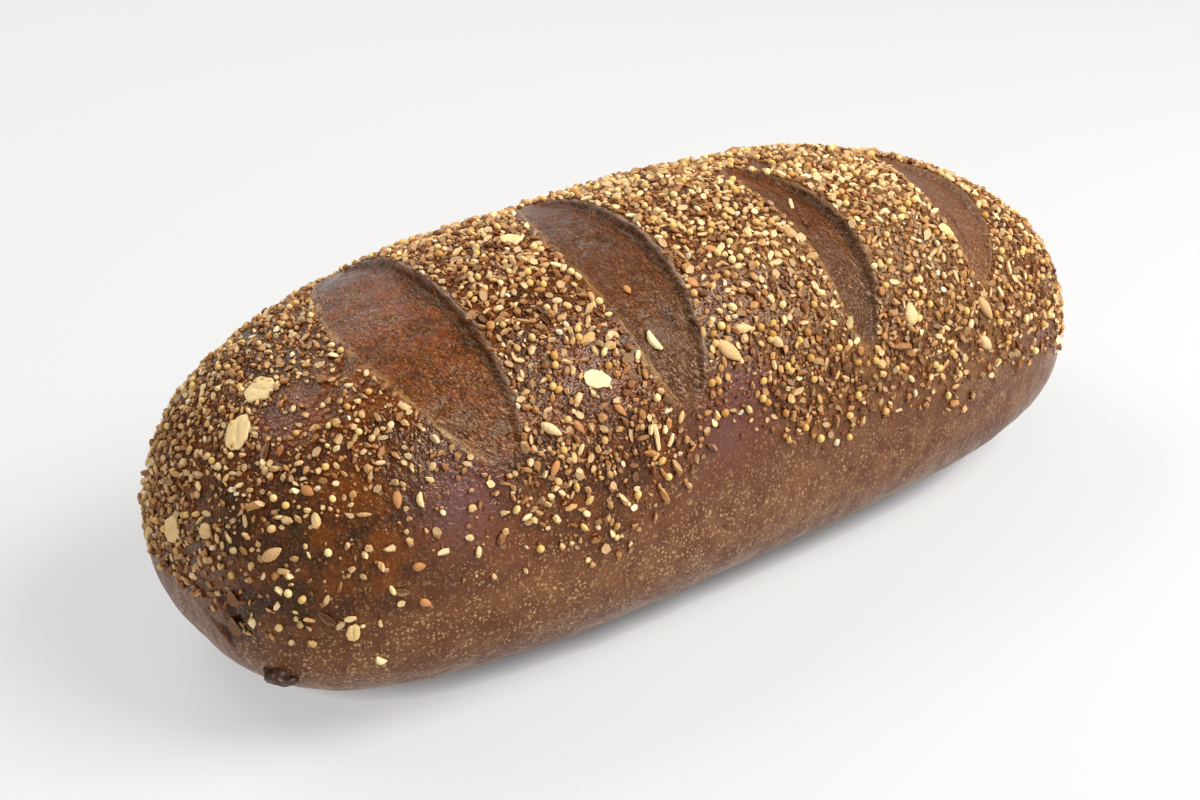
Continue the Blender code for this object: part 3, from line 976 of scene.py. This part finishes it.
# The bead of syrup that ran down the near end as the loaf baked, and set hard between its foot and the
# hearth: dark, glassy and lumpy
BEAD_SIZE = (0.0080, 0.0082, 0.0050)
BEAD_STATION = -0.1408
BEAD_ANGLE = math.radians(122)
BEAD_SUNK = 0.0004
BEAD_LOWEST = 0.0026
BEAD_BROWN = (40, 20, 12)
BEAD_PALE = (84, 50, 32)
bm = bmesh.new()
bmesh.ops.create_uvsphere(bm, u_segments=32, v_segments=20, radius=0.5)
for vert in bm.verts:
    vert.co *= 1 + 0.50 * noise.noise(vert.co * 2.7) + 0.08 * noise.noise(vert.co * 8)
    vert.co = Vector([value * size for value, size in zip(vert.co, BEAD_SIZE)])
bead_place = skin_point(BEAD_STATION, BEAD_ANGLE) - skin_normal(BEAD_STATION, BEAD_ANGLE) * BEAD_SUNK
bead_place.z = max(bead_place.z, BEAD_LOWEST)
bmesh.ops.translate(bm, verts=bm.verts, vec=bead_place)
bead_mesh = bpy.data.meshes.new("syrup_bead")
bm.to_mesh(bead_mesh)
bm.free()
bead_mesh.shade_smooth()
bead = bpy.data.objects.new("syrup_bead", bead_mesh)
bpy.context.scene.collection.objects.link(bead)
syrup, shader, place = start_finish("syrup")
syrup_skin = place.noise(420, 2)
syrup_bump = place.node("Bump", {}, {"Height": syrup_skin, "Distance": 0.0003, "Strength": 0.4})
syrup_colour = syrup_skin.mix(screen(*BEAD_BROWN), screen(*BEAD_PALE))
syrup_looks = {"Base Color": syrup_colour, "Roughness": 0.25 + 0.2 * syrup_skin, "Normal": syrup_bump}
finish_shader(shader, syrup_looks)
bead_mesh.materials.append(syrup)
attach(bead, "root")

# The studio: a plain pale table under wide soft boxes. The table glows a little, less in the narrow gap
# under the loaf, so that it stays as pale as a lit sweep and still shows where the loaf touches it.
TABLE_GREY = 0.30
TABLE_GLOW = 0.48
GAP_REACH = 0.006
# A box's name, place, target, size, power in watts and colour
SOFT_BOXES = [
    ("key_box", (0.50, -0.58, 0.86), (0, 0, 0.05), (0.7, 0.5), 17.0, (1.0, 0.985, 0.955)),
    ("back_box", (-0.30, 0.62, 0.92), (0, 0, 0.08), (0.8, 0.4), 5.5, (1.0, 0.99, 0.97)),
    ("low_back_strip", (0.35, 1.0, 0.42), (0, 0, 0.06), (0.8, 0.25), 1.5, (1.0, 0.99, 0.97)),
    ("cool_fill", (0.12, -1.05, 0.30), (0, 0, 0.05), (0.5, 0.3), 1.5, (0.94, 0.95, 1.0)),
    ("warm_left", (-0.95, -0.45, 0.40), (-0.1, 0, 0.04), (0.5, 0.4), 1.3, (1.0, 0.92, 0.78)),
]
bm = bmesh.new()
bmesh.ops.create_grid(bm, x_segments=1, y_segments=1, size=6)
table_mesh = bpy.data.meshes.new("table")
bm.to_mesh(table_mesh)
bm.free()
table = bpy.data.objects.new("table", table_mesh)
bpy.context.scene.collection.objects.link(table)
table_paint, shader, place = start_finish("table_paint")
paper = {"Roughness": 0.95, "Specular IOR Level": 0.0}
paper["Base Color"] = (TABLE_GREY, TABLE_GREY, TABLE_GREY, 1)
gap = {"Color": (1, 1, 1, 1), "Distance": GAP_REACH}
paper["Emission Color"] = place.node("AmbientOcclusion", {"samples": 16}, gap)
paper["Emission Strength"] = TABLE_GLOW
finish_shader(shader, paper)
table_mesh.materials.append(table_paint)

world = bpy.data.worlds.new("studio")
world.use_nodes = True
world.node_tree.nodes["Background"].inputs["Color"].default_value = (1.0, 0.99, 0.97, 1)
world.node_tree.nodes["Background"].inputs["Strength"].default_value = 0.30
bpy.context.scene.world = world

for name, position, target, size, power, colour in SOFT_BOXES:
    data = bpy.data.lights.new(name, "AREA")
    data.shape = "RECTANGLE"
    data.size, data.size_y = size
    data.energy = power
    data.color = colour
    light = bpy.data.objects.new(name, data)
    light.location = position
    light.rotation_euler = (Vector(target) - Vector(position)).to_track_quat("-Z", "Y").to_euler()
    bpy.context.scene.collection.objects.link(light)

# The camera, by its turn round the loaf and its height above the table, looking down along the loaf
LENS = 59.92
TURN = math.radians(-37.724)
RISE = math.radians(28)
DISTANCE = 0.580055
SHIFT_LEFT = 0.012433
SHIFT_DOWN = 0.010834
TARGET_HEIGHT = 0.05138
camera_data = bpy.data.cameras.new("camera")
camera_data.lens = LENS
camera_data.sensor_width = 36
camera_data.clip_start = 0.01
camera_data.clip_end = 30
camera = bpy.data.objects.new("camera", camera_data)
right = Vector((math.cos(TURN), math.sin(TURN), 0))
back = Vector((math.sin(TURN) * math.cos(RISE), -math.cos(TURN) * math.cos(RISE), math.sin(RISE)))
up = back.cross(right)
camera.rotation_euler = Matrix((right, up, back)).transposed().to_euler()
camera.location = Vector((0, -BOW, TARGET_HEIGHT)) + back * DISTANCE - right * SHIFT_LEFT - up * SHIFT_DOWN
bpy.context.scene.collection.objects.link(camera)
bpy.context.scene.camera = camera
bpy.context.scene.view_settings.view_transform = "Standard"
bpy.context.scene.view_settings.look = "None"
